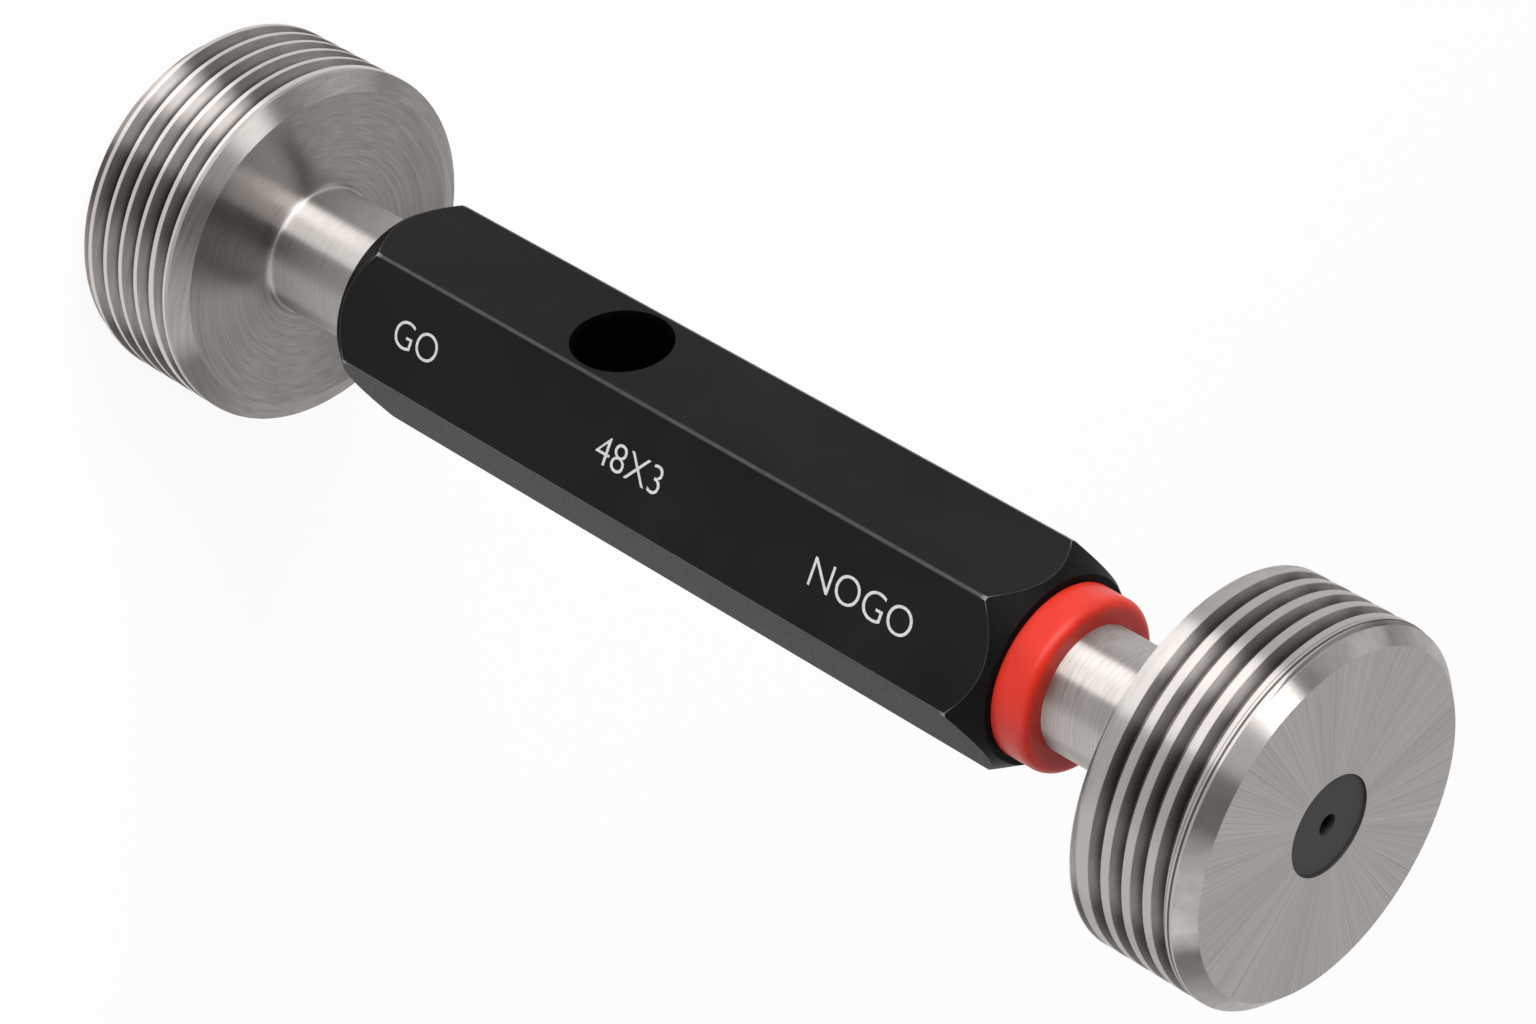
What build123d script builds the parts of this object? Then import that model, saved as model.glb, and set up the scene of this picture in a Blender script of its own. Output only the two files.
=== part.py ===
from build123d import *
import math
import os

# Double-ended thread plug gauge for a 48 mm internal thread of 3 mm pitch, in millimetres.
# It stands on the front face of its GO member, with +Z along the gauge towards the NOGO member.
# The origin is the centre of that face, and X is the axis of the drift hole through the handle.

# Thread
PITCH = 3.0
FLANK_HALF_ANGLE = 30.0
GO_CREST_D = 48.0
GO_CREST_FLAT = 0.6
GO_ROOT_FLAT = 0.38
NOGO_CREST_D = 47.0
NOGO_CREST_FLAT = 1.15
NOGO_ROOT_FLAT = 0.3

# Gauging heads
GO_HEAD_LENGTH = 20.0
NOGO_HEAD_LENGTH = 17.0
FRONT_CHAMFER = 2.0
GO_REAR_CHAMFER = 2.6
NOGO_REAR_CHAMFER = 0.9
REAR_CHAMFER_ANGLE = 25.0
GO_REAR_LAND = 2.0
NOGO_REAR_LAND = 1.9
NOGO_FRONT_LAND = 3.3
RUN_OUT_TURNS = 0.5
LEAD_OUT_TURNS = 0.8
GROOVE_START_ANGLE = 37.0
GO_MEMBER_TURN = 180.0
NOGO_MEMBER_TURN = 163.0

# Unground centre of each face, and the centre holes
RECESS_D = 12.6
RECESS_DEPTH = 0.3
CENTRE_HOLE_D = 2.7
CENTRE_HOLE_DEPTH = 6.0
CENTRE_DRILL_HALF_ANGLE = 59.0

# Necks
GO_NECK_D = 17.0
NOGO_NECK_D = 16.0
GO_NECK_LENGTH = 17.0
NOGO_NECK_LENGTH = 23.0
NECK_FILLET = 0.8

# Taper lock: the shank wedges in the handle's socket before its shoulder meets the handle
TAPER = 1 / 50
SOCKET_MOUTH_D = 15.6
SHOULDER_STAND_OFF = 0.4
SHANK_DEPTH = 28.0
SHANK_CHAMFER = 0.8
TAPER_CLEARANCE = 0.02
SOCKET_MOUTH_CHAMFER = 0.3
SOCKET_RUN_ON = 1.2
KNOCK_OUT_BORE_D = 5.0

# Handle
HANDLE_ACROSS_FLATS = 25.0
HANDLE_LENGTH = 110.0
END_FACE_D = 23.8
END_CONE_LENGTH = 4.0
EDGE_CHAMFER = 0.3
DRIFT_HOLE_D = 12.0
DRIFT_HOLE_FROM_GO_END = 40.0
DRIFT_HOLE_CHAMFER = 0.4

# Marker ring
RING_D = 22.0
RING_THICKNESS = 5.0
RING_FRONT_RADIUS = 1.2
RING_REAR_CHAMFER = 0.2

# Places along the gauge
handle_go_end = GO_HEAD_LENGTH + GO_NECK_LENGTH
handle_nogo_end = handle_go_end + HANDLE_LENGTH
gauge_length = handle_nogo_end + NOGO_NECK_LENGTH + NOGO_HEAD_LENGTH
drift_hole_z = handle_go_end + DRIFT_HOLE_FROM_GO_END


def shank_radius(depth):
    """Radius of the taper shank at a depth into the socket."""
    return SOCKET_MOUTH_D / 2 - TAPER_CLEARANCE - depth * TAPER / 2


def thread_groove(crest_d, crest_flat, root_flat, turns, run_out_turns, lead_out_turns):
    """One right-hand groove that starts at Z = 0 and angle 0, and fades out of the crest at either end."""
    slope = math.tan(math.radians(FLANK_HALF_ANGLE))
    half_root = root_flat / 2
    depth = (PITCH - crest_flat - root_flat) / (2 * slope)
    root_r = crest_d / 2 - depth
    proud = depth * 0.2
    half_top = half_root + (depth + proud) * slope

    def fading_leg(leg_turns):
        rise = (depth + proud / 2) / leg_turns
        cone = math.degrees(math.atan2(rise, PITCH))
        return Helix(math.hypot(PITCH, rise), PITCH * leg_turns, root_r, cone_angle=cone)

    legs = [Helix(PITCH, PITCH * turns, root_r)]
    if run_out_turns:
        legs.insert(0, Rot(180, 0, 0) * fading_leg(run_out_turns))
    if lead_out_turns:
        legs.append(Pos(0, 0, PITCH * turns) * Rot(0, 0, 360 * turns) * fading_leg(lead_out_turns))
    path = Wire(legs)

    start = path @ 0
    radius = math.hypot(start.X, start.Y)
    outward = Vector(start.X, start.Y, 0).normalized()
    along = outward.cross(Vector(0, 0, 1))
    if along.dot(path % 0) < 0:
        along = -along
    section_plane = Plane(origin=(0, 0, start.Z), x_dir=outward, z_dir=along)
    section = make_face(
        Polyline(
            (radius, -half_root),
            (radius + depth + proud, -half_top),
            (radius + depth + proud, half_top),
            (radius, half_root),
            close=True,
        )
    )
    return sweep(section_plane * section, path=path, is_frenet=True)


def gauging_member(crest_d, head_length, rear_chamfer, neck_d, neck_length):
    """A turned blank with its front face at Z = 0 and its shank pointing up."""
    crest_r = crest_d / 2
    neck_r = neck_d / 2
    mouth = head_length + neck_length
    shoulder = mouth - SHOULDER_STAND_OFF
    tip = mouth + SHANK_DEPTH
    tip_r = shank_radius(SHANK_DEPTH)
    rear_edge = head_length - rear_chamfer * math.tan(math.radians(REAR_CHAMFER_ANGLE))
    outline = Polyline(
        (0, 0),
        (crest_r - FRONT_CHAMFER, 0),
        (crest_r, FRONT_CHAMFER),
        (crest_r, rear_edge),
        (crest_r - rear_chamfer, head_length),
        (neck_r, head_length),
        (neck_r, shoulder),
        (shank_radius(-SHOULDER_STAND_OFF), shoulder),
        (shank_radius(SHANK_DEPTH - SHANK_CHAMFER), tip - SHANK_CHAMFER),
        (tip_r - SHANK_CHAMFER, tip),
        (0, tip),
        close=True,
    )
    profile = make_face(outline)
    neck_corner = profile.vertices().sort_by_distance(Vector(neck_r, head_length, 0))[0]
    blank = revolve(Plane.XZ * fillet(neck_corner, NECK_FILLET), Axis.Z)
    hole_r = CENTRE_HOLE_D / 2
    hole_end = RECESS_DEPTH + CENTRE_HOLE_DEPTH
    face_cut = make_face(
        Polyline(
            (0, 0),
            (RECESS_D / 2, 0),
            (RECESS_D / 2, RECESS_DEPTH),
            (hole_r, RECESS_DEPTH),
            (hole_r, hole_end),
            (0, hole_end + hole_r / math.tan(math.radians(CENTRE_DRILL_HALF_ANGLE))),
            close=True,
        )
    )
    tip_hole = Pos(0, 0, tip) * (
        Cylinder(hole_r, 2 * CENTRE_HOLE_DEPTH)
        + Cone(0, 2 * hole_r, 2 * hole_r * math.sqrt(3), align=(Align.CENTER, Align.CENTER, Align.MAX))
    )
    return blank - revolve(Plane.XZ * face_cut, Axis.Z) - tip_hole


def go_member():
    """The full-form head: its groove runs out through the front chamfer, so that the gauge can enter."""
    blank = gauging_member(GO_CREST_D, GO_HEAD_LENGTH, GO_REAR_CHAMFER, GO_NECK_D, GO_NECK_LENGTH)
    threaded_length = GO_HEAD_LENGTH - GO_REAR_LAND
    run_in = PITCH
    turns = (threaded_length + run_in) / PITCH - RUN_OUT_TURNS
    groove = thread_groove(GO_CREST_D, GO_CREST_FLAT, GO_ROOT_FLAT, turns, 0, RUN_OUT_TURNS)
    member = blank - Pos(0, 0, -run_in) * Rot(0, 0, GROOVE_START_ANGLE) * groove
    return Rot(0, 0, GO_MEMBER_TURN) * member


def nogo_member():
    """The truncated head, upside down at the far end: its groove fades out under a wide front land."""
    blank = gauging_member(NOGO_CREST_D, NOGO_HEAD_LENGTH, NOGO_REAR_CHAMFER, NOGO_NECK_D, NOGO_NECK_LENGTH)
    standing = Pos(0, 0, gauge_length) * Rot(180, 0, 0) * blank
    start = gauge_length - NOGO_HEAD_LENGTH + NOGO_REAR_LAND
    full_length = NOGO_HEAD_LENGTH - NOGO_REAR_LAND - NOGO_FRONT_LAND
    turns = full_length / PITCH
    groove = thread_groove(NOGO_CREST_D, NOGO_CREST_FLAT, NOGO_ROOT_FLAT, turns, RUN_OUT_TURNS, LEAD_OUT_TURNS)
    member = standing - Pos(0, 0, start) * Rot(0, 0, GROOVE_START_ANGLE) * groove
    return Rot(0, 0, NOGO_MEMBER_TURN) * member


def handle():
    """Hexagonal bar with a flat square to X, coned ends, a taper socket in each end and the drift hole."""
    flat_distance = HANDLE_ACROSS_FLATS / 2
    corner_r = flat_distance / math.cos(math.radians(30))
    section = RegularPolygon(flat_distance, 6, major_radius=False, rotation=30)
    bar = extrude(chamfer(section.vertices(), EDGE_CHAMFER), HANDLE_LENGTH)
    end_r = END_FACE_D / 2
    clear_r = end_r + 1.5 * (corner_r - end_r)
    clear_z = 1.5 * END_CONE_LENGTH
    end_limit = make_face(
        Polyline(
            (0, 0),
            (end_r, 0),
            (clear_r, clear_z),
            (clear_r, HANDLE_LENGTH - clear_z),
            (end_r, HANDLE_LENGTH),
            (0, HANDLE_LENGTH),
            close=True,
        )
    )
    bar = bar & revolve(Plane.XZ * end_limit, Axis.Z)

    mouth_r = SOCKET_MOUTH_D / 2
    socket_depth = SHANK_DEPTH + SOCKET_RUN_ON
    lead_in = SOCKET_MOUTH_CHAMFER
    socket_profile = make_face(
        Polyline(
            (0, -lead_in),
            (mouth_r + 2 * lead_in, -lead_in),
            (mouth_r - lead_in * TAPER / 2, lead_in),
            (mouth_r - socket_depth * TAPER / 2, socket_depth),
            (0, socket_depth),
            close=True,
        )
    )
    socket = revolve(Plane.XZ * socket_profile, Axis.Z)
    bar -= socket
    bar -= Pos(0, 0, HANDLE_LENGTH) * Rot(180, 0, 0) * socket
    bar -= Pos(0, 0, HANDLE_LENGTH / 2) * Cylinder(KNOCK_OUT_BORE_D / 2, HANDLE_LENGTH - socket_depth)

    hole_r = DRIFT_HOLE_D / 2
    edge = DRIFT_HOLE_CHAMFER
    countersink = Pos(0, 0, flat_distance) * Cone(hole_r - edge, hole_r + 3 * edge, 4 * edge)
    cutter = Cylinder(hole_r, HANDLE_ACROSS_FLATS + 2 * edge) + countersink + Rot(180, 0, 0) * countersink
    bar -= Pos(0, 0, DRIFT_HOLE_FROM_GO_END) * Rot(0, 90, 0) * cutter
    return Pos(0, 0, handle_go_end) * bar


def marker_ring():
    """Ring pressed on the NOGO neck against the handle, with a rounded edge towards the NOGO head."""
    outer = Cylinder(RING_D / 2, RING_THICKNESS, align=(Align.CENTER, Align.CENTER, Align.MIN))
    front_edge = outer.edges().sort_by(Axis.Z)[-1]
    outer = fillet(front_edge, RING_FRONT_RADIUS)
    rear_edge = outer.edges().filter_by(GeomType.CIRCLE).sort_by(Axis.Z)[0]
    outer = chamfer(rear_edge, RING_REAR_CHAMFER)
    bore = Cylinder(NOGO_NECK_D / 2, 3 * RING_THICKNESS)
    return Pos(0, 0, handle_nogo_end) * (outer - bore)


pieces = {
    "go_thread_member": go_member(),
    "nogo_thread_member": nogo_member(),
    "hex_handle": handle(),
    "nogo_marker_ring": marker_ring(),
}

os.makedirs("parts", exist_ok=True)
for name, piece in pieces.items():
    export_step(piece, f"parts/{name}.step")
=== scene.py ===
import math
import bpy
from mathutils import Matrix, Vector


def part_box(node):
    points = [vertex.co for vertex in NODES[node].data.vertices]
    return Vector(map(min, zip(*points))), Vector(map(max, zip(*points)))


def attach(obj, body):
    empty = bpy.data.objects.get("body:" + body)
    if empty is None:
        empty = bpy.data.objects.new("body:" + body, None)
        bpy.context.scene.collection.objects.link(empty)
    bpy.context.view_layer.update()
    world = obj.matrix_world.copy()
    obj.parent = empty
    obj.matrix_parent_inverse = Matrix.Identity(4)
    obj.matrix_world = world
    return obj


bl_info = {
    "name": "Thread Plug Gauge",
    "version": (1, 0, 0),
    "blender": (4, 5, 0),
    "location": "3D View > Sidebar > Plug Gauge",
    "description": "Dresses a thread plug gauge: steel heads, black handle, red ring, letters and stage",
    "category": "Object",
}

from collections import namedtuple
from functools import partial

import bpy
from mathutils import Matrix, Vector

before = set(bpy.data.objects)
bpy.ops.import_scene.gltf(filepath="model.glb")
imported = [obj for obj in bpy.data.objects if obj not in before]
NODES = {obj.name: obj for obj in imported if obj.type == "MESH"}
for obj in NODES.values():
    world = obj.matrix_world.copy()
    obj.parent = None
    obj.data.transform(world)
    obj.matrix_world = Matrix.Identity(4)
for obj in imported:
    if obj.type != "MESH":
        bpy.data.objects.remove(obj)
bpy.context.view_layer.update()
MM = 0.001

# Sizes of the solids, which the finishes follow

handle_low, handle_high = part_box("hex_handle")
HANDLE_START = handle_low.z
HANDLE_END = handle_high.z
FLAT_DISTANCE = handle_high.x
HANDLE_CORNER = FLAT_DISTANCE / math.cos(math.radians(30))
LETTERED_FLAT_ANGLE = math.radians(60)
END_FACE_RADIUS = 11.9 * MM
END_CONE_LENGTH = 4.0 * MM
END_CONE_SLOPE = (HANDLE_CORNER - END_FACE_RADIUS) / END_CONE_LENGTH
HOLE_CHAMFER_REACH = 0.45 * MM
GAUGE_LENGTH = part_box("nogo_thread_member")[1].z
FRONT_CHAMFER = 2.05 * MM
FRONT_RECESS_REACH = 10.0 * MM

# Radii where the look of a neck ends and that of a head begins

NECK_EDGE = 9.0 * MM
HEAD_EDGE = 10.0 * MM

# Depths below the crest where the look of a thread changes: the painted crest tone ends and the painted
# groove shade begins and deepens

CREST_EDGE = 0.03 * MM
CREST_END = 0.08 * MM
FLANK_FULL = 0.12 * MM
ROOT_FULL = 1.5 * MM
THREAD_DEPTH = 2.1 * MM

# The turning marks' noise has this many units for each metre across the axis, and 1000 along it

MARK_STRETCH = 80.0

# Height of a capital letter against its font's size

CAP_SHARE = 0.729

# How far the middle of a letter lies above the flat, against the letter's thickness

LETTER_RISE = 0.3

# Slots of a thread member and of the handle, in the order of their materials

TURNED, GROUND_FACE, UNGROUND_CENTRE, REAR_FACE = range(4)
COAT, RUBBED_AND_LIT_EDGE, COAT_END, HOLE_WALL = range(4)

# Lamps around the middle of the gauge, in degrees, metres and watts

Lamp = namedtuple("Lamp", "name azimuth elevation distance width height power")
LAMPS = (
    Lamp("key_strip", -3.0, 28.0, 0.8, 0.31, 0.85, 5.8),
    Lamp("key_low", 26.0, 14.0, 0.8, 0.52, 0.42, 4.6),
    Lamp("side_panel", 121.0, 28.0, 0.85, 0.9, 0.9, 3.1),
    Lamp("back_panel", 225.0, 42.0, 0.95, 1.1, 0.7, 1.8),
    Lamp("fill_panel", -55.0, 25.0, 0.9, 0.9, 0.8, 1.7),
)

# Heights, on a sphere of radius 1, over which the room's floor turns into wall and its wall into ceiling

FLOOR_TO_WALL = (0.16, 0.26)
WALL_TO_CEILING = (0.85, 0.97)


# Node helpers shared by the materials

def new_material(name):
    """An empty node material with its output, and its principled shader wired in."""
    material = bpy.data.materials.new(name)
    material.use_nodes = True
    tree = material.node_tree
    tree.nodes.clear()
    shader = tree.nodes.new("ShaderNodeBsdfPrincipled")
    output = tree.nodes.new("ShaderNodeOutputMaterial")
    tree.links.new(shader.outputs["BSDF"], output.inputs["Surface"])
    return material, tree, shader


def feed(tree, sockets, values):
    """Links each value that is a socket, sets each one that is a number or a tuple, and skips None."""
    for socket, value in zip(sockets, values):
        if isinstance(value, bpy.types.NodeSocket):
            tree.links.new(value, socket)
        elif value is not None:
            socket.default_value = value


def math_node(tree, operation, first, second=None, clamp=False):
    """A Math node; an input is a socket or a number."""
    node = tree.nodes.new("ShaderNodeMath")
    node.operation = operation
    node.use_clamp = clamp
    feed(tree, node.inputs, (first, second))
    return node.outputs[0]


def vector_node(tree, operation, first, second=None, scale=None):
    """A Vector Math node; an input is a socket or a tuple, and a scale is a socket or a number."""
    node = tree.nodes.new("ShaderNodeVectorMath")
    node.operation = operation
    feed(tree, node.inputs, (first, second))
    if scale is not None:
        feed(tree, [node.inputs["Scale"]], [scale])
    return node.outputs["Value" if operation == "LENGTH" else "Vector"]


def noise(tree, vector, scale, detail=2.0, roughness=0.5):
    """A Noise Texture read at a vector; returns its value."""
    node = tree.nodes.new("ShaderNodeTexNoise")
    node.inputs["Scale"].default_value = scale
    node.inputs["Detail"].default_value = detail
    node.inputs["Roughness"].default_value = roughness
    tree.links.new(vector, node.inputs["Vector"])
    return node.outputs["Fac"]


def map_range(tree, value, low, high, to_low, to_high):
    """A clamped Map Range node."""
    node = tree.nodes.new("ShaderNodeMapRange")
    node.clamp = True
    tree.links.new(value, node.inputs["Value"])
    for name, number in (("From Min", low), ("From Max", high), ("To Min", to_low), ("To Max", to_high)):
        node.inputs[name].default_value = number
    return node.outputs["Result"]


def between(tree, value, low, high):
    """1 where the value is between two numbers, else 0."""
    above = math_node(tree, "GREATER_THAN", value, low)
    below = math_node(tree, "LESS_THAN", value, high)
    return math_node(tree, "MULTIPLY", above, below)


def shade(colour, factor):
    """A colour made darker or brighter, and never brighter than white."""
    return tuple(min(channel * factor, 1.0) for channel in colour)


def mix_colour(tree, factor, first, second):
    """A colour Mix node; a colour is a socket or a tuple."""
    node = tree.nodes.new("ShaderNodeMix")
    node.data_type = "RGBA"
    tree.links.new(factor, node.inputs["Factor"])
    sockets = [s for s in node.inputs if s.name in ("A", "B") and s.type == "RGBA"]
    feed(tree, sockets, [(*c, 1.0) if isinstance(c, tuple) else c for c in (first, second)])
    return next(s for s in node.outputs if s.type == "RGBA")


def mottle(tree, pattern, first, second, low=0.35, high=0.65):
    """Turns one colour into another as a pattern rises from low to high."""
    return mix_colour(tree, map_range(tree, pattern, low, high, 0.0, 1.0), first, second)


def vary_roughness(tree, pattern, at_low, at_high):
    """A roughness that follows a pattern."""
    return map_range(tree, pattern, 0.3, 0.7, at_low, at_high)


def add_bump(tree, shader, height, strength, distance):
    """Bump from a height, in metres, on the shader's normal."""
    node = tree.nodes.new("ShaderNodeBump")
    node.inputs["Strength"].default_value = strength
    node.inputs["Distance"].default_value = distance
    tree.links.new(height, node.inputs["Height"])
    tree.links.new(node.outputs["Normal"], shader.inputs["Normal"])


def object_position(tree):
    """Position on the gauge, whose axis is Z."""
    return tree.nodes.new("ShaderNodeTexCoord").outputs["Object"]


def axes_of(tree, vector):
    """The X, Y and Z of a vector."""
    node = tree.nodes.new("ShaderNodeSeparateXYZ")
    tree.links.new(vector, node.inputs[0])
    return node.outputs


def across_axis(tree, position):
    """A position without its part along the gauge's axis."""
    return vector_node(tree, "MULTIPLY", position, (1.0, 1.0, 0.0))


def distance_from_end(tree, along, start, end):
    """Distance along the axis to the nearer of two ends."""
    half_length = (end - start) / 2
    off_middle = math_node(tree, "SUBTRACT", along, start + half_length)
    return math_node(tree, "SUBTRACT", half_length, math_node(tree, "ABSOLUTE", off_middle))


def angle_from_corner(tree, axes):
    """Angle around the axis, in radians, to the nearest corner of the hexagon."""
    turn = math_node(tree, "ARCTAN2", axes["Y"], axes["X"])
    from_flat = math_node(tree, "PINGPONG", turn, math.radians(30))
    return math_node(tree, "SUBTRACT", math.radians(30), from_flat)


# Materials of the steel heads

def turning_marks(tree, along, across, radius):
    """Noise that runs around the axis as tool marks do; returns fine marks and broad bands."""
    in_millimetres = math_node(tree, "MULTIPLY", math_node(tree, "ADD", radius, along), 1.0 / MM)
    quick = tree.nodes.new("ShaderNodeCombineXYZ")
    tree.links.new(in_millimetres, quick.inputs["X"])
    slow = vector_node(tree, "SCALE", across, scale=MARK_STRETCH)
    turned_at = vector_node(tree, "ADD", slow, quick.outputs[0])
    marks = noise(tree, turned_at, scale=3.4, detail=3.0, roughness=0.6)
    bands = noise(tree, turned_at, scale=0.6, detail=1.0)
    return marks, bands


def threaded_lengths(tree, settings, along):
    """1 along the threads of both heads, else 0."""
    go_thread = between(tree, along, FRONT_CHAMFER, settings.go_thread_end)
    nogo_thread = between(tree, along, settings.nogo_thread_start, GAUGE_LENGTH - FRONT_CHAMFER)
    return math_node(tree, "MAXIMUM", go_thread, nogo_thread)


def thread_groove_shade(tree, below_crest, outwards, flank_shade, root_shade, dark_from):
    """Painted shade in a thread's groove: in patches on its flanks, and most at its bottom."""
    patches = noise(tree, vector_node(tree, "SCALE", outwards, scale=3.4), scale=1.6, detail=3.0)
    patchiness = map_range(tree, patches, 0.35, 0.65, 0.8, 1.15)
    flank = map_range(tree, below_crest, CREST_EDGE, FLANK_FULL, 0.0, flank_shade)
    flank = math_node(tree, "MULTIPLY", flank, patchiness)
    bottom = map_range(tree, below_crest, dark_from, ROOT_FULL, 0.0, root_shade - flank_shade)
    dulling = math_node(tree, "ADD", flank, bottom, clamp=True)
    return math_node(tree, "MULTIPLY", dulling, math_node(tree, "LESS_THAN", below_crest, THREAD_DEPTH))


def scribed_lines(tree, along, below_crest, place):
    """A line around a head at a place, and a finer, fainter one just before it."""
    half_width = 0.15 * MM
    finer_near = 0.42 * MM
    finer_far = 0.56 * MM
    finer_strength = 0.6
    deepest = 0.1 * MM
    line = between(tree, along, place - half_width, place + half_width)
    finer = between(tree, along, place - finer_far, place - finer_near)
    both = math_node(tree, "MAXIMUM", line, math_node(tree, "MULTIPLY", finer, finer_strength))
    return math_node(tree, "MULTIPLY", both, math_node(tree, "LESS_THAN", below_crest, deepest))


def neck_foot_highlight(tree, settings, along, radius):
    """1 on a thin line around the foot of each neck, where a highlight is painted, else 0."""
    near = 0.2 * MM
    far = 0.48 * MM
    go_rear = settings.go_head_length
    nogo_rear = GAUGE_LENGTH - settings.nogo_head_length
    go_foot = between(tree, along, go_rear + near, go_rear + far)
    nogo_foot = between(tree, along, nogo_rear - far, nogo_rear - near)
    either = math_node(tree, "ADD", go_foot, nogo_foot)
    return math_node(tree, "MULTIPLY", either, math_node(tree, "LESS_THAN", radius, HEAD_EDGE))


def turned_steel(settings, name, crest_radius, dark_from, flank_shade=0.0, crest_tone=1.0,
                 scribed_at=None, tone=1.0):
    """Hardened steel, turned around the axis, with painted shade in the thread grooves, a painted tone on
    the crests (a highlight on the GO head), a painted highlight around the foot of each neck, and scribed
    lines if asked for.
    """
    material, tree, shader = new_material(name)
    position = object_position(tree)
    along = axes_of(tree, position)["Z"]
    across = across_axis(tree, position)
    radius = vector_node(tree, "LENGTH", across)
    outwards = vector_node(tree, "NORMALIZE", across)
    marks, bands = turning_marks(tree, along, across, radius)
    below_crest = math_node(tree, "SUBTRACT", crest_radius, radius)
    in_threads = threaded_lengths(tree, settings, along)

    light = shade(settings.colour, tone)
    colour = mottle(tree, marks, shade(light, 0.72), light, low=0.3, high=0.7)
    band_strength = map_range(tree, bands, 0.35, 0.65, 0.25, 0.0)
    colour = mix_colour(tree, band_strength, colour, shade(light, 0.9))
    # Painted crest tone: a highlight on the GO crests, a little darker than the rest on the NOGO crests
    near_crest = map_range(tree, below_crest, CREST_EDGE, CREST_END, 1.0, 0.0)
    crest = math_node(tree, "MULTIPLY", in_threads, near_crest)
    colour = mix_colour(tree, crest, colour, shade(light, crest_tone))
    # Painted shade: the flanks and bottoms of the thread grooves are darkened towards the groove shade
    # colour
    dulling = thread_groove_shade(tree, below_crest, outwards, flank_shade, settings.root_shade, dark_from)
    dulling = math_node(tree, "MULTIPLY", dulling, in_threads)
    colour = mix_colour(tree, dulling, colour, tuple(settings.groove_shade_and_scribe_colour))
    if scribed_at is not None:
        lines = scribed_lines(tree, along, below_crest, scribed_at)
        colour = mix_colour(tree, lines, colour, tuple(settings.groove_shade_and_scribe_colour))
    neck_gain = map_range(tree, radius, NECK_EDGE, HEAD_EDGE, settings.neck_tone, 1.0)
    colour = vector_node(tree, "SCALE", colour, scale=neck_gain)
    # Painted highlight: a bright line around the foot of each neck
    foot = neck_foot_highlight(tree, settings, along, radius)
    colour = mix_colour(tree, foot, colour, tuple(settings.foot_highlight_colour))
    tree.links.new(colour, shader.inputs["Base Color"])

    rough = vary_roughness(tree, marks, settings.roughness + 0.04, settings.roughness - 0.04)
    neck_dulling = map_range(tree, radius, NECK_EDGE, HEAD_EDGE, settings.neck_dulling, 0.0)
    rough = math_node(tree, "ADD", rough, neck_dulling)
    foot_dulling = math_node(tree, "MULTIPLY", foot, 0.25)
    rough = math_node(tree, "ADD", rough, foot_dulling)
    tree.links.new(rough, shader.inputs["Roughness"])
    shader.inputs["Metallic"].default_value = 1.0

    around = vector_node(tree, "CROSS_PRODUCT", (0.0, 0.0, 1.0), outwards)
    tree.links.new(around, shader.inputs["Tangent"])
    shader.inputs["Anisotropic"].default_value = settings.brushing
    shader.inputs["Anisotropic Rotation"].default_value = 0.25
    add_bump(tree, shader, marks, strength=settings.mark_depth, distance=0.02 * MM)
    return material


def ground_face(settings):
    """Steel of the end faces, with fine grinding marks that run outwards, in lighter and darker sectors."""
    material, tree, shader = new_material("ground_face_steel")
    outwards = vector_node(tree, "NORMALIZE", across_axis(tree, object_position(tree)))
    close_set = vector_node(tree, "SCALE", outwards, scale=84.0)
    streaks = noise(tree, close_set, scale=2.6, detail=3.0, roughness=0.6)
    wide_set = vector_node(tree, "SCALE", outwards, scale=1.5)
    sectors = noise(tree, wide_set, scale=1.3, detail=2.0)
    light = shade(settings.colour, 1.06)
    colour = mottle(tree, streaks, shade(light, 0.6), light, low=0.32, high=0.62)
    sector_strength = map_range(tree, sectors, 0.3, 0.7, 0.0, 0.35)
    colour = mix_colour(tree, sector_strength, colour, shade(light, 0.62))
    tree.links.new(colour, shader.inputs["Base Color"])
    rough = vary_roughness(tree, streaks, settings.roughness + 0.08, settings.roughness)
    tree.links.new(rough, shader.inputs["Roughness"])
    shader.inputs["Metallic"].default_value = 1.0
    add_bump(tree, shader, streaks, strength=settings.mark_depth, distance=0.03 * MM)
    return material


def unground_centre(settings):
    """Dull dark skin left in the middle of each end face, with painted shade that turns the centre hole
    black.
    """
    material, tree, shader = new_material("unground_dark_centre")
    position = object_position(tree)
    speck = noise(tree, position, scale=2200.0, detail=3.0)
    skin = tuple(settings.recess_colour)
    colour = mottle(tree, speck, shade(skin, 0.8), skin)
    # Painted shade: the centre hole turns black below the face
    from_face = distance_from_end(tree, axes_of(tree, position)["Z"], 0.0, GAUGE_LENGTH)
    painted_hole_shade = map_range(tree, from_face, 0.4 * MM, 1.2 * MM, 0.0, 1.0)
    colour = mix_colour(tree, painted_hole_shade, colour, (0.002, 0.002, 0.002))
    tree.links.new(colour, shader.inputs["Base Color"])
    tree.links.new(vary_roughness(tree, speck, 0.5, 0.62), shader.inputs["Roughness"])
    shader.inputs["Specular IOR Level"].default_value = 0.3
    add_bump(tree, shader, speck, strength=0.1, distance=0.02 * MM)
    return material


# Materials of the handle

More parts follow.
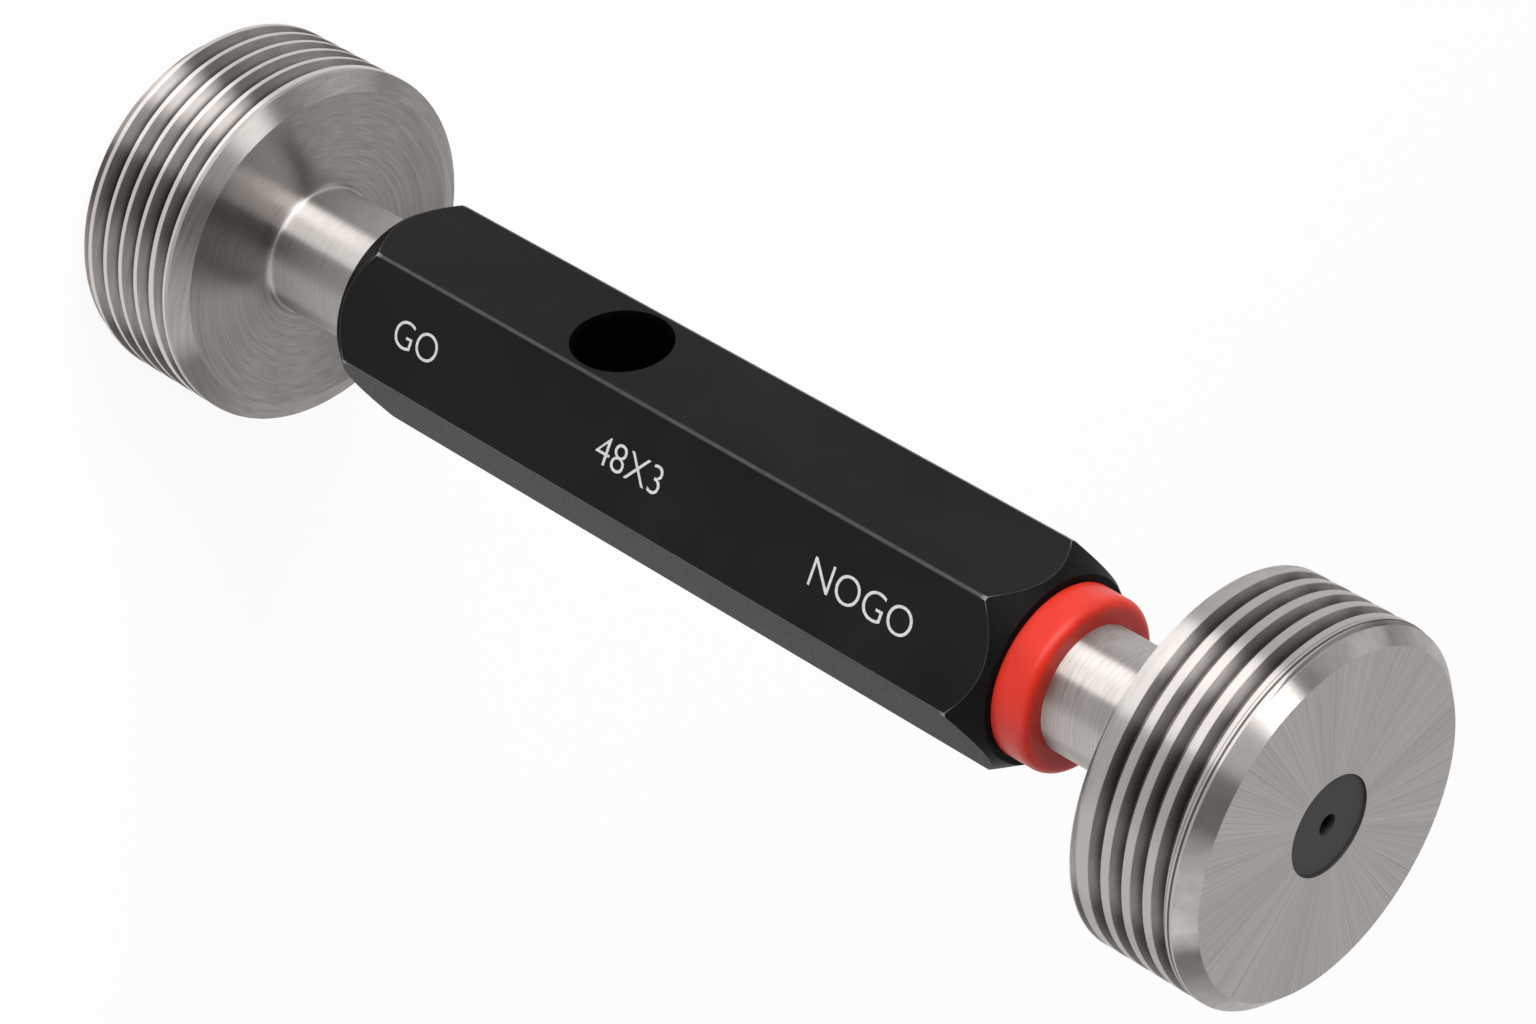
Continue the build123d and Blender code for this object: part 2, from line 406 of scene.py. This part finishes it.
def black_handle_finish(settings):
    """Satin black coat with a fine grain, and a lighter line where the end cones cut the flats, part rubbed
    wear and part painted highlight, with a painted glint at the hex corners.
    """
    material, tree, shader = new_material("satin_black_coat")
    position = object_position(tree)
    axes = axes_of(tree, position)
    radius = vector_node(tree, "LENGTH", across_axis(tree, position))
    grain = noise(tree, position, scale=2600.0, detail=3.0, roughness=0.6)
    cloud = noise(tree, position, scale=60.0, detail=2.0)
    coat = tuple(settings.colour)
    colour = mottle(tree, cloud, coat, shade(coat, 1.5))

    # Rubbed wear and painted edge highlight: a lighter line where each end cone cuts the flats
    from_end = distance_from_end(tree, axes["Z"], HANDLE_START, HANDLE_END)
    widening = math_node(tree, "MULTIPLY", from_end, END_CONE_SLOPE)
    cone_radius = math_node(tree, "ADD", settings.end_face_radius, widening)
    from_cone = math_node(tree, "ABSOLUTE", math_node(tree, "SUBTRACT", cone_radius, radius))
    rubbed_and_lit = map_range(tree, from_cone, 0.03 * MM, 0.12 * MM, 0.6, 0.0)
    colour = mix_colour(tree, rubbed_and_lit, colour, tuple(settings.edge_wear_and_highlight_colour))
    # Painted glint: the line turns brighter beside each hex corner
    corner_angle = angle_from_corner(tree, axes)
    near_corner = map_range(tree, corner_angle, math.radians(1.5), math.radians(6), 1.0, 0.0)
    glint_tip = math_node(tree, "MULTIPLY", rubbed_and_lit, near_corner)
    colour = mix_colour(tree, glint_tip, colour, tuple(settings.corner_wear_and_glint_colour))
    tree.links.new(colour, shader.inputs["Base Color"])

    rough = vary_roughness(tree, grain, settings.roughness - 0.05, settings.roughness + 0.06)
    tree.links.new(rough, shader.inputs["Roughness"])
    shader.inputs["Specular IOR Level"].default_value = settings.gloss
    shader.inputs["Specular Tint"].default_value = (1.0, 0.965, 0.95, 1.0)
    add_bump(tree, shader, grain, strength=0.12, distance=0.02 * MM)
    return material


def rubbed_and_lit_edge(settings):
    """The coat along the handle's edges, lighter in stretches as rubbed wear and painted edge highlight,
    with a painted glint at the tips.
    """
    material, tree, shader = new_material("rubbed_and_lit_coat_edge")
    position = object_position(tree)
    axes = axes_of(tree, position)
    wear = noise(tree, position, scale=900.0, detail=3.0, roughness=0.6)
    stretches = noise(tree, position, scale=55.0, detail=2.0)
    coat = tuple(settings.colour)
    # Rubbed wear and painted edge highlight along the edge strip, broken in stretches
    rubbed_and_lit = tuple(settings.edge_wear_and_highlight_colour)
    colour = mottle(tree, wear, shade(rubbed_and_lit, 0.6), rubbed_and_lit)
    unrubbed = map_range(tree, stretches, 0.35, 0.65, 0.5, 0.0)
    colour = mix_colour(tree, unrubbed, colour, coat)
    corner_angle = angle_from_corner(tree, axes)
    beside = map_range(tree, corner_angle, math.radians(0.3), math.radians(0.7), 0.0, 1.0)
    colour = mix_colour(tree, beside, colour, coat)
    # Painted glint at the end of each edge, next to the end cone
    from_end = distance_from_end(tree, axes["Z"], HANDLE_START, HANDLE_END)
    glint_tip = map_range(tree, from_end, 3.9 * MM, 4.7 * MM, 1.0, 0.0)
    colour = mix_colour(tree, glint_tip, colour, tuple(settings.corner_wear_and_glint_colour))
    tree.links.new(colour, shader.inputs["Base Color"])
    tree.links.new(vary_roughness(tree, wear, 0.4, 0.5), shader.inputs["Roughness"])
    return material


def end_cone_finish(settings):
    """The duller coat on the turned cones and end faces of the handle."""
    material, tree, shader = new_material("dull_coat_ends")
    grain = noise(tree, object_position(tree), scale=2600.0, detail=3.0, roughness=0.6)
    coat = tuple(settings.colour)
    tree.links.new(mottle(tree, grain, shade(coat, 0.6), coat), shader.inputs["Base Color"])
    rough = vary_roughness(tree, grain, settings.roughness - 0.08, settings.roughness)
    tree.links.new(rough, shader.inputs["Roughness"])
    shader.inputs["Specular IOR Level"].default_value = settings.gloss * 0.5
    return material


def drift_hole_painted_shade():
    """Black wall of the drift hole, darkened further than the coat as painted shade, which takes no light.
    """
    material, _, shader = new_material("drift_hole_wall_painted_shade")
    # Painted shade: near black and without gloss, so the wall shows no light
    shader.inputs["Base Color"].default_value = (0.001, 0.001, 0.001, 1.0)
    shader.inputs["Roughness"].default_value = 0.9
    shader.inputs["Specular IOR Level"].default_value = 0.0
    return material


# Materials of the ring, the letters and the floor

def red_plastic(settings):
    """Soft-gloss red plastic with faint clouding, and painted shade beside the neck."""
    material, tree, shader = new_material("red_ring_plastic")
    position = object_position(tree)
    radius = vector_node(tree, "LENGTH", across_axis(tree, position))
    cloud = noise(tree, position, scale=180.0, detail=3.0, roughness=0.55)
    red = tuple(settings.colour)
    colour = mottle(tree, cloud, shade(red, 0.85), red)
    # Painted shade: the ring's faces darken towards the neck
    painted_neck_shade = map_range(tree, radius, NECK_EDGE, 10.4 * MM, settings.bore_painted_shade, 1.0)
    colour = vector_node(tree, "SCALE", colour, scale=painted_neck_shade)
    tree.links.new(colour, shader.inputs["Base Color"])
    rough = vary_roughness(tree, cloud, settings.roughness - 0.04, settings.roughness + 0.04)
    tree.links.new(rough, shader.inputs["Roughness"])
    shader.inputs["Specular IOR Level"].default_value = 0.3
    add_bump(tree, shader, cloud, strength=0.05, distance=0.05 * MM)
    return material


def letter_fill(settings):
    """Pale etched letters, slightly uneven."""
    material, tree, shader = new_material("pale_etched_letters")
    speck = noise(tree, object_position(tree), scale=3000.0, detail=2.0)
    fill = tuple(settings.colour)
    tree.links.new(mottle(tree, speck, shade(fill, 0.82), fill), shader.inputs["Base Color"])
    tree.links.new(vary_roughness(tree, speck, 0.5, 0.62), shader.inputs["Roughness"])
    shader.inputs["Specular IOR Level"].default_value = 0.2
    return material


def floor_paper(settings):
    """White paper that the camera and the steel see near white, and that still takes a shadow."""
    material, tree, shader = new_material("white_floor_paper")
    shader.inputs["Base Color"].default_value = (*settings.floor_colour, 1.0)
    shader.inputs["Roughness"].default_value = 0.9
    shader.inputs["Specular IOR Level"].default_value = 0.0
    glow = tree.nodes.new("ShaderNodeEmission")
    glow.inputs["Color"].default_value = (1.0, 1.0, 1.0, 1.0)
    glow.inputs["Strength"].default_value = 1.0
    path = tree.nodes.new("ShaderNodeLightPath")
    seen = math_node(tree, "MAXIMUM", path.outputs["Is Camera Ray"], path.outputs["Is Glossy Ray"])
    seen = math_node(tree, "MAXIMUM", seen, path.outputs["Is Transmission Ray"])
    share = math_node(tree, "MULTIPLY", seen, settings.floor_glow)
    blend = tree.nodes.new("ShaderNodeMixShader")
    feed(tree, blend.inputs, (share, shader.outputs["BSDF"], glow.outputs["Emission"]))
    output = next(n for n in tree.nodes if n.type == "OUTPUT_MATERIAL")
    tree.links.new(blend.outputs[0], output.inputs["Surface"])
    return material


# Sizes and colours that a user may change

class SteelHeadSettings(bpy.types.PropertyGroup):
    """Sizes and colours of the two thread members"""
    colour: bpy.props.FloatVectorProperty(
        name="Steel", description="Colour of the ground steel", subtype="COLOR",
        size=3, min=0.0, max=1.0, default=(0.46, 0.432, 0.414))
    roughness: bpy.props.FloatProperty(
        name="Roughness", description="Mean roughness of the steel", default=0.31, min=0.1, max=0.8)
    brushing: bpy.props.FloatProperty(
        name="Brushing", description="How far the turning marks stretch a highlight",
        default=1.0, min=0.0, max=1.0)
    mark_depth: bpy.props.FloatProperty(
        name="Mark depth", description="Strength of the turning marks", default=0.25, min=0.0, max=1.0)
    # Strength of the painted shade on the GO thread flanks
    go_flank_shade: bpy.props.FloatProperty(
        name="GO flank dulling", description="How dull the flanks of the GO thread are",
        default=0.34, min=0.0, max=1.0)
    # Strength of the painted shade on the NOGO thread flanks
    nogo_flank_shade: bpy.props.FloatProperty(
        name="NOGO flank dulling", description="How dull the flanks of the NOGO thread are",
        default=0.42, min=0.0, max=1.0)
    go_dark_from: bpy.props.FloatProperty(
        name="GO dark from", description="Depth below the GO crest at which the darker root begins",
        default=0.9 * MM, unit="LENGTH")
    nogo_dark_from: bpy.props.FloatProperty(
        name="NOGO dark from", description="Depth below the NOGO crest at which the darker root begins",
        default=0.3 * MM, unit="LENGTH")
    # Strength of the painted shade at the bottom of the threads
    root_shade: bpy.props.FloatProperty(
        name="Root dulling", description="How dull the bottom of the threads is",
        default=1.0, min=0.0, max=1.0)
    # Colour of the painted shade in the thread grooves, also of the scribed lines
    groove_shade_and_scribe_colour: bpy.props.FloatVectorProperty(
        name="Root colour", description="Colour of the dull thread roots", subtype="COLOR",
        size=3, min=0.0, max=1.0, default=(0.09, 0.08, 0.076))
    # Strength of the painted highlight on the GO crests
    go_crest_tone: bpy.props.FloatProperty(
        name="GO crest tone", description="How bright the GO crests are against the rest",
        default=1.4, min=0.5, max=2.0)
    # Painted tone of the NOGO crests, a little darker than the rest
    nogo_crest_tone: bpy.props.FloatProperty(
        name="NOGO crest tone", description="How bright the NOGO crests are against the rest",
        default=0.92, min=0.5, max=2.0)
    rear_face_tone: bpy.props.FloatProperty(
        name="Rear face tone", description="How dark the heads' rear faces are against the rest",
        default=0.76, min=0.1, max=1.0)
    neck_tone: bpy.props.FloatProperty(
        name="Neck tone", description="How bright the necks are against the heads",
        default=1.12, min=0.5, max=1.5)
    neck_dulling: bpy.props.FloatProperty(
        name="Neck dulling", description="How much rougher the necks are than the heads",
        default=0.06, min=0.0, max=0.5)
    # Colour of the highlight painted around the foot of each neck
    foot_highlight_colour: bpy.props.FloatVectorProperty(
        name="Neck foot", description="Colour of the bright line around the foot of each neck",
        subtype="COLOR", size=3, min=0.0, max=1.0, default=(0.68, 0.66, 0.645))
    go_head_length: bpy.props.FloatProperty(
        name="GO head length", description="Length of the GO head", default=20.0 * MM, unit="LENGTH")
    nogo_head_length: bpy.props.FloatProperty(
        name="NOGO head length", description="Length of the NOGO head", default=17.0 * MM, unit="LENGTH")
    go_thread_end: bpy.props.FloatProperty(
        name="GO thread end", description="Where the GO thread ends, from the gauge's foot",
        default=18.2 * MM, unit="LENGTH")
    nogo_thread_start: bpy.props.FloatProperty(
        name="NOGO thread start", description="Where the NOGO thread starts, from the gauge's foot",
        default=171.5 * MM, unit="LENGTH")
    scribed_line: bpy.props.FloatProperty(
        name="Scribed line", description="Distance of the scribed line from the NOGO face",
        default=2.5 * MM, unit="LENGTH")
    recess_diameter: bpy.props.FloatProperty(
        name="Unground centre", description="Diameter of the unground centre of each face",
        default=12.6 * MM, unit="LENGTH")
    recess_colour: bpy.props.FloatVectorProperty(
        name="Centre colour", description="Colour of the unground centre", subtype="COLOR",
        size=3, min=0.0, max=1.0, default=(0.031, 0.0303, 0.0297))


class HandleSettings(bpy.types.PropertyGroup):
    """Sizes and colours of the handle"""
    colour: bpy.props.FloatVectorProperty(
        name="Coat", description="Colour of the black coat", subtype="COLOR",
        size=3, min=0.0, max=1.0, default=(0.0047, 0.0045, 0.0044))
    roughness: bpy.props.FloatProperty(
        name="Roughness", description="Mean roughness of the coat", default=0.48, min=0.1, max=1.0)
    gloss: bpy.props.FloatProperty(
        name="Gloss", description="Specular level of the coat", default=0.07, min=0.0, max=1.0)
    # Colour of the edges: rubbed wear and a painted edge highlight
    edge_wear_and_highlight_colour: bpy.props.FloatVectorProperty(
        name="Edge", description="Colour of the rubbed edges", subtype="COLOR",
        size=3, min=0.0, max=1.0, default=(0.04, 0.039, 0.039))
    # Colour of the corners: rubbed wear and a painted glint
    corner_wear_and_glint_colour: bpy.props.FloatVectorProperty(
        name="Corner", description="Colour of the rubbed corners", subtype="COLOR",
        size=3, min=0.0, max=1.0, default=(0.15, 0.148, 0.146))
    end_face_radius: bpy.props.FloatProperty(
        name="End face radius", description="Radius of the handle's flat end faces",
        default=END_FACE_RADIUS, unit="LENGTH")
    hole_place: bpy.props.FloatProperty(
        name="Hole place", description="Axis of the drift hole, from the gauge's foot",
        default=77.0 * MM, unit="LENGTH")
    hole_radius: bpy.props.FloatProperty(
        name="Hole radius", description="Radius of the drift hole", default=6.0 * MM, unit="LENGTH")


class RingSettings(bpy.types.PropertyGroup):
    """Colours of the marker ring"""
    colour: bpy.props.FloatVectorProperty(
        name="Red", description="Colour of the marker ring", subtype="COLOR",
        size=3, min=0.0, max=1.0, default=(0.465, 0.0155, 0.005))
    roughness: bpy.props.FloatProperty(
        name="Roughness", description="Mean roughness of the ring", default=0.42, min=0.1, max=1.0)
    # Strength of the painted shade on the ring's faces beside the neck
    bore_painted_shade: bpy.props.FloatProperty(
        name="Bore tone", description="How dark the ring's faces are beside the neck",
        default=0.68, min=0.1, max=1.0)


class LetteringSettings(bpy.types.PropertyGroup):
    """Sizes, places and colour of the letters"""
    cap_height: bpy.props.FloatProperty(
        name="Cap height", description="Height of a capital letter", default=3.85 * MM, unit="LENGTH")
    width: bpy.props.FloatProperty(
        name="Width", description="Width of the letters against their font's own",
        default=1.0, min=0.5, max=2.0)
    spacing: bpy.props.FloatProperty(
        name="Spacing", description="Letter spacing against the font's own",
        default=0.98, min=0.8, max=2.0)
    drop: bpy.props.FloatProperty(
        name="Drop", description="How far the line of letters lies below the middle of the flat",
        default=0.35 * MM, unit="LENGTH")
    thickness: bpy.props.FloatProperty(
        name="Thickness", description="How thick the filled letters are",
        default=0.03 * MM, unit="LENGTH")
    thinning: bpy.props.FloatProperty(
        name="Thinning", description="How much each side of a stroke is drawn in",
        default=0.065 * MM, unit="LENGTH")
    go_place: bpy.props.FloatProperty(
        name="GO place", description="Middle of the GO mark, from the gauge's foot",
        default=51.4 * MM, unit="LENGTH")
    size_place: bpy.props.FloatProperty(
        name="Size place", description="Middle of the size mark, from the gauge's foot",
        default=89.2 * MM, unit="LENGTH")
    nogo_place: bpy.props.FloatProperty(
        name="NOGO place", description="Middle of the NOGO mark, from the gauge's foot",
        default=127.1 * MM, unit="LENGTH")
    colour: bpy.props.FloatVectorProperty(
        name="Fill", description="Colour of the letters", subtype="COLOR",
        size=3, min=0.0, max=1.0, default=(0.43, 0.43, 0.43))


class StageSettings(bpy.types.PropertyGroup):
    """The floor, the room and the camera"""
    floor_colour: bpy.props.FloatVectorProperty(
        name="Floor", description="Colour of the floor", subtype="COLOR",
        size=3, min=0.0, max=1.0, default=(0.86, 0.86, 0.86))
    floor_glow: bpy.props.FloatProperty(
        name="Floor glow", description="How much of the floor's own white the camera sees",
        default=0.9, min=0.0, max=1.0)
    floor_size: bpy.props.FloatProperty(
        name="Floor size", description="Side of the floor", default=6.0, unit="LENGTH")
    foot_light: bpy.props.FloatProperty(
        name="Foot light", description="Brightness of the room near the floor",
        default=0.9, min=0.0, max=2.0)
    wall_light: bpy.props.FloatProperty(
        name="Wall light", description="Brightness of the room's walls",
        default=0.15, min=0.0, max=2.0)
    ceiling_light: bpy.props.FloatProperty(
        name="Ceiling light", description="Brightness of the room's ceiling",
        default=0.52, min=0.0, max=2.0)
    view_distance: bpy.props.FloatProperty(
        name="View distance", description="Camera to the point that it looks at",
        default=0.59509, unit="LENGTH")
    view_azimuth: bpy.props.FloatProperty(
        name="View azimuth", description="Direction of the camera around the gauge",
        default=math.radians(42.145), subtype="ANGLE")
    view_height: bpy.props.FloatProperty(
        name="View elevation", description="Direction of the camera above the floor",
        default=math.radians(35.612), subtype="ANGLE")
    view_roll: bpy.props.FloatProperty(
        name="View roll", description="Turn of the camera about its own line of sight",
        default=math.radians(119.794), subtype="ANGLE")
    view_target: bpy.props.FloatVectorProperty(
        name="View target", description="Point that the camera looks at", subtype="TRANSLATION",
        size=3, default=(-3.24 * MM, -2.01 * MM, 98.74 * MM))
    lens: bpy.props.FloatProperty(
        name="Lens", description="Focal length in millimetres on a 36 mm sensor", default=117.1875)


# Operators, one for each piece or group of like pieces

def finish_node(name, materials, slot_of):
    """Gives a CAD node its finishes in place of its packed one; slot_of picks one for each polygon."""
    mesh = NODES[name].data
    mesh.materials.clear()
    for material in materials:
        mesh.materials.append(material)
    for polygon in mesh.polygons:
        polygon.material_index = slot_of(polygon)


def head_slot(settings, face_z, polygon):
    """Which finish a polygon of a thread member takes, by its place and direction."""
    off_axis = math.hypot(polygon.center.x, polygon.center.y)
    from_face = abs(polygon.center.z - face_z)
    facing_end = abs(polygon.normal.z)
    if from_face < FRONT_RECESS_REACH and off_axis < settings.recess_diameter / 2 + 0.01 * MM:
        return UNGROUND_CENTRE
    if from_face < 0.02 * MM and facing_end > 0.99:
        return GROUND_FACE
    on_rear_face = facing_end > 0.95 and off_axis > 8.0 * MM
    on_neck_fillet = facing_end > 0.55 and off_axis < 9.6 * MM
    if from_face > FRONT_RECESS_REACH and (on_rear_face or on_neck_fillet):
        return REAR_FACE
    return TURNED


def handle_slot(settings, polygon):
    """Which finish a polygon of the handle takes, by its place and direction."""
    middle = polygon.center
    normal = polygon.normal
    from_hole = math.hypot(middle.y, middle.z - settings.hole_place)
    if from_hole < settings.hole_radius + HOLE_CHAMFER_REACH and abs(normal.x) < 0.95:
        return HOLE_WALL
    leans_to_end = abs(normal.z) > 0.05
    from_end = min(middle.z - HANDLE_START, HANDLE_END - middle.z)
    if leans_to_end and from_end < 5.0 * MM:
        return COAT_END
    turn = math.degrees(math.atan2(normal.y, normal.x))
    faces_corner = abs(turn % 60.0 - 30.0) < 5.0
    on_outside = math.hypot(middle.x, middle.y) > HANDLE_CORNER - 0.5 * MM
    if faces_corner and on_outside and not leans_to_end:
        return RUBBED_AND_LIT_EDGE
    return COAT


class GAUGE_OT_steel_heads(bpy.types.Operator):
    """Give both thread members their turned and ground steel"""
    bl_idname = "gauge.steel_heads"
    bl_label = "Steel Heads"

    def execute(self, context):
        settings = context.scene.gauge_steel
        go_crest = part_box("go_thread_member")[1].x
        nogo_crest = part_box("nogo_thread_member")[1].x
        go_steel = turned_steel(
            settings, "turned_steel", go_crest, settings.go_dark_from,
            flank_shade=settings.go_flank_shade,
            crest_tone=settings.go_crest_tone,
        )
        nogo_steel = turned_steel(
            settings, "turned_and_scribed_steel", nogo_crest, settings.nogo_dark_from,
            flank_shade=settings.nogo_flank_shade,
            crest_tone=settings.nogo_crest_tone,
            scribed_at=GAUGE_LENGTH - settings.scribed_line,
        )
        rear_steel = turned_steel(
            settings, "turned_rear_face_steel", go_crest, settings.go_dark_from,
            tone=settings.rear_face_tone,
        )
        shared = (ground_face(settings), unground_centre(settings), rear_steel)
        finish_node("go_thread_member", (go_steel, *shared), partial(head_slot, settings, 0.0))
        finish_node("nogo_thread_member", (nogo_steel, *shared), partial(head_slot, settings, GAUGE_LENGTH))
        return {"FINISHED"}


class GAUGE_OT_handle_coat(bpy.types.Operator):
    """Give the hexagonal handle its satin black coat, with rubbed wear and painted highlights along its
    edges
    """
    bl_idname = "gauge.handle_coat"
    bl_label = "Handle Coat"

    def execute(self, context):
        settings = context.scene.gauge_handle
        finishes = (
            black_handle_finish(settings),
            rubbed_and_lit_edge(settings),
            end_cone_finish(settings),
            drift_hole_painted_shade(),
        )
        finish_node("hex_handle", finishes, partial(handle_slot, settings))
        return {"FINISHED"}


class GAUGE_OT_marker_ring(bpy.types.Operator):
    """Give the marker ring its red plastic"""
    bl_idname = "gauge.marker_ring"
    bl_label = "Marker Ring"

    def execute(self, context):
        finish_node("nogo_marker_ring", [red_plastic(context.scene.gauge_ring)], lambda polygon: 0)
        return {"FINISHED"}


def mark(settings, name, words, place, material):
    """One line of thin filled letters on the lettered flat, reading towards the NOGO end."""
    normal = Vector((math.cos(LETTERED_FLAT_ANGLE), math.sin(LETTERED_FLAT_ANGLE), 0.0))
    reading = Vector((0.0, 0.0, 1.0))
    upwards = normal.cross(reading)
    bpy.ops.object.select_all(action="DESELECT")
    bpy.ops.object.text_add()
    line = bpy.context.object
    line.name = name
    line.data.body = words
    line.data.align_x = "CENTER"
    line.data.align_y = "CENTER"
    line.data.space_character = settings.spacing
    line.data.size = settings.cap_height / CAP_SHARE
    line.data.resolution_u = 6
    line.data.extrude = settings.thickness / 2
    line.data.offset = -settings.thinning
    bpy.ops.object.convert(target="MESH")

    turn = Matrix((reading, upwards, normal)).transposed().to_4x4()
    widen = Matrix.Diagonal((settings.width, 1.0, 1.0, 1.0))
    from_axis = FLAT_DISTANCE + LETTER_RISE * settings.thickness
    foot = normal * from_axis - upwards * settings.drop + reading * place
    line.matrix_world = Matrix.Translation(foot) @ turn @ widen
    bpy.ops.object.transform_apply(location=True, rotation=True, scale=True)
    line.data.materials.clear()
    line.data.materials.append(material)
    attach(line, "root")


class GAUGE_OT_lettering(bpy.types.Operator):
    """Put the GO, size and NOGO marks on the front flat of the handle"""
    bl_idname = "gauge.lettering"
    bl_label = "Lettering"

    def execute(self, context):
        settings = context.scene.gauge_lettering
        material = letter_fill(settings)
        mark(settings, "mark_go", "GO", settings.go_place, material)
        mark(settings, "mark_size", "48X3", settings.size_place, material)
        mark(settings, "mark_nogo", "NOGO", settings.nogo_place, material)
        return {"FINISHED"}


def direction(azimuth, elevation):
    """Unit vector that points away from the gauge, from two angles in radians."""
    level = math.cos(elevation)
    return Vector((math.cos(azimuth) * level, math.sin(azimuth) * level, math.sin(elevation)))


def soft_lamp(lamp, aim):
    """A rectangular lamp that looks at a point, from a direction around it."""
    away = direction(math.radians(lamp.azimuth), math.radians(lamp.elevation))
    data = bpy.data.lights.new(lamp.name, "AREA")
    data.shape = "RECTANGLE"
    data.size = lamp.width
    data.size_y = lamp.height
    data.energy = lamp.power
    panel = bpy.data.objects.new(lamp.name, data)
    panel.location = aim + away * lamp.distance
    panel.rotation_euler = away.to_track_quat("Z", "Y").to_euler()
    panel.visible_camera = False
    bpy.context.scene.collection.objects.link(panel)


def studio_room(settings):
    """A room that is pale near the floor, dim at its walls and a little paler at its ceiling."""
    world = bpy.data.worlds.new("studio_room")
    world.use_nodes = True
    tree = world.node_tree
    background = tree.nodes["Background"]
    looking = tree.nodes.new("ShaderNodeTexCoord").outputs["Generated"]
    height = axes_of(tree, looking)["Z"]
    above_wall = settings.ceiling_light - settings.wall_light
    lower = map_range(tree, height, *FLOOR_TO_WALL, settings.foot_light, settings.wall_light)
    upper = map_range(tree, height, *WALL_TO_CEILING, 0.0, above_wall)
    background.inputs["Color"].default_value = (1.0, 1.0, 1.0, 1.0)
    tree.links.new(math_node(tree, "ADD", lower, upper), background.inputs["Strength"])
    return world


def photo_camera(settings):
    """The camera at the photograph's viewing angle."""
    data = bpy.data.cameras.new("photo_camera")
    data.lens = settings.lens
    data.sensor_width = 36.0
    data.clip_start = 0.01
    data.clip_end = 20.0
    camera = bpy.data.objects.new("photo_camera", data)
    back = direction(settings.view_azimuth, settings.view_height)
    right = Vector((-math.sin(settings.view_azimuth), math.cos(settings.view_azimuth), 0.0))
    axes = Matrix((right, back.cross(right), back)).transposed().to_4x4()
    roll = Matrix.Rotation(settings.view_roll, 4, "Z")
    place = Matrix.Translation(Vector(settings.view_target) + back * settings.view_distance)
    camera.matrix_world = place @ axes @ roll
    bpy.context.scene.collection.objects.link(camera)
    return camera


class GAUGE_OT_stage(bpy.types.Operator):
    """Add the floor, the soft lamps, the world and the camera"""
    bl_idname = "gauge.stage"
    bl_label = "Stage"

    def execute(self, context):
        settings = context.scene.gauge_stage
        bpy.ops.object.select_all(action="DESELECT")
        bpy.ops.mesh.primitive_plane_add(size=settings.floor_size, location=(0.0, 0.0, 0.0))
        floor = context.object
        floor.name = "floor"
        floor.data.materials.append(floor_paper(settings))

        middle = Vector((0.0, 0.0, GAUGE_LENGTH / 2))
        for lamp in LAMPS:
            soft_lamp(lamp, middle)
        context.scene.world = studio_room(settings)
        context.scene.camera = photo_camera(settings)
        context.scene.view_settings.view_transform = "Standard"
        return {"FINISHED"}


class GAUGE_PT_panel(bpy.types.Panel):
    """Lists the gauge's operators"""
    bl_idname = "GAUGE_PT_panel"
    bl_label = "Plug Gauge"
    bl_space_type = "VIEW_3D"
    bl_region_type = "UI"
    bl_category = "Plug Gauge"

    def draw(self, context):
        for operator in OPERATORS:
            self.layout.operator(operator.bl_idname)


SETTINGS = {
    "gauge_steel": SteelHeadSettings,
    "gauge_handle": HandleSettings,
    "gauge_ring": RingSettings,
    "gauge_lettering": LetteringSettings,
    "gauge_stage": StageSettings,
}
OPERATORS = (
    GAUGE_OT_steel_heads,
    GAUGE_OT_handle_coat,
    GAUGE_OT_marker_ring,
    GAUGE_OT_lettering,
    GAUGE_OT_stage,
)


def register():
    """Registers the settings, the operators and the panel."""
    for name, group in SETTINGS.items():
        bpy.utils.register_class(group)
        setattr(bpy.types.Scene, name, bpy.props.PointerProperty(type=group))
    for operator in OPERATORS:
        bpy.utils.register_class(operator)
    bpy.utils.register_class(GAUGE_PT_panel)


def unregister():
    """Removes the panel, the operators and the settings."""
    bpy.utils.unregister_class(GAUGE_PT_panel)
    for operator in reversed(OPERATORS):
        bpy.utils.unregister_class(operator)
    for name, group in reversed(SETTINGS.items()):
        delattr(bpy.types.Scene, name)
        bpy.utils.unregister_class(group)


def main():
    register()
    bpy.ops.gauge.steel_heads()
    bpy.ops.gauge.handle_coat()
    bpy.ops.gauge.marker_ring()
    bpy.ops.gauge.lettering()
    bpy.ops.gauge.stage()


if __name__ == "__main__":
    main()
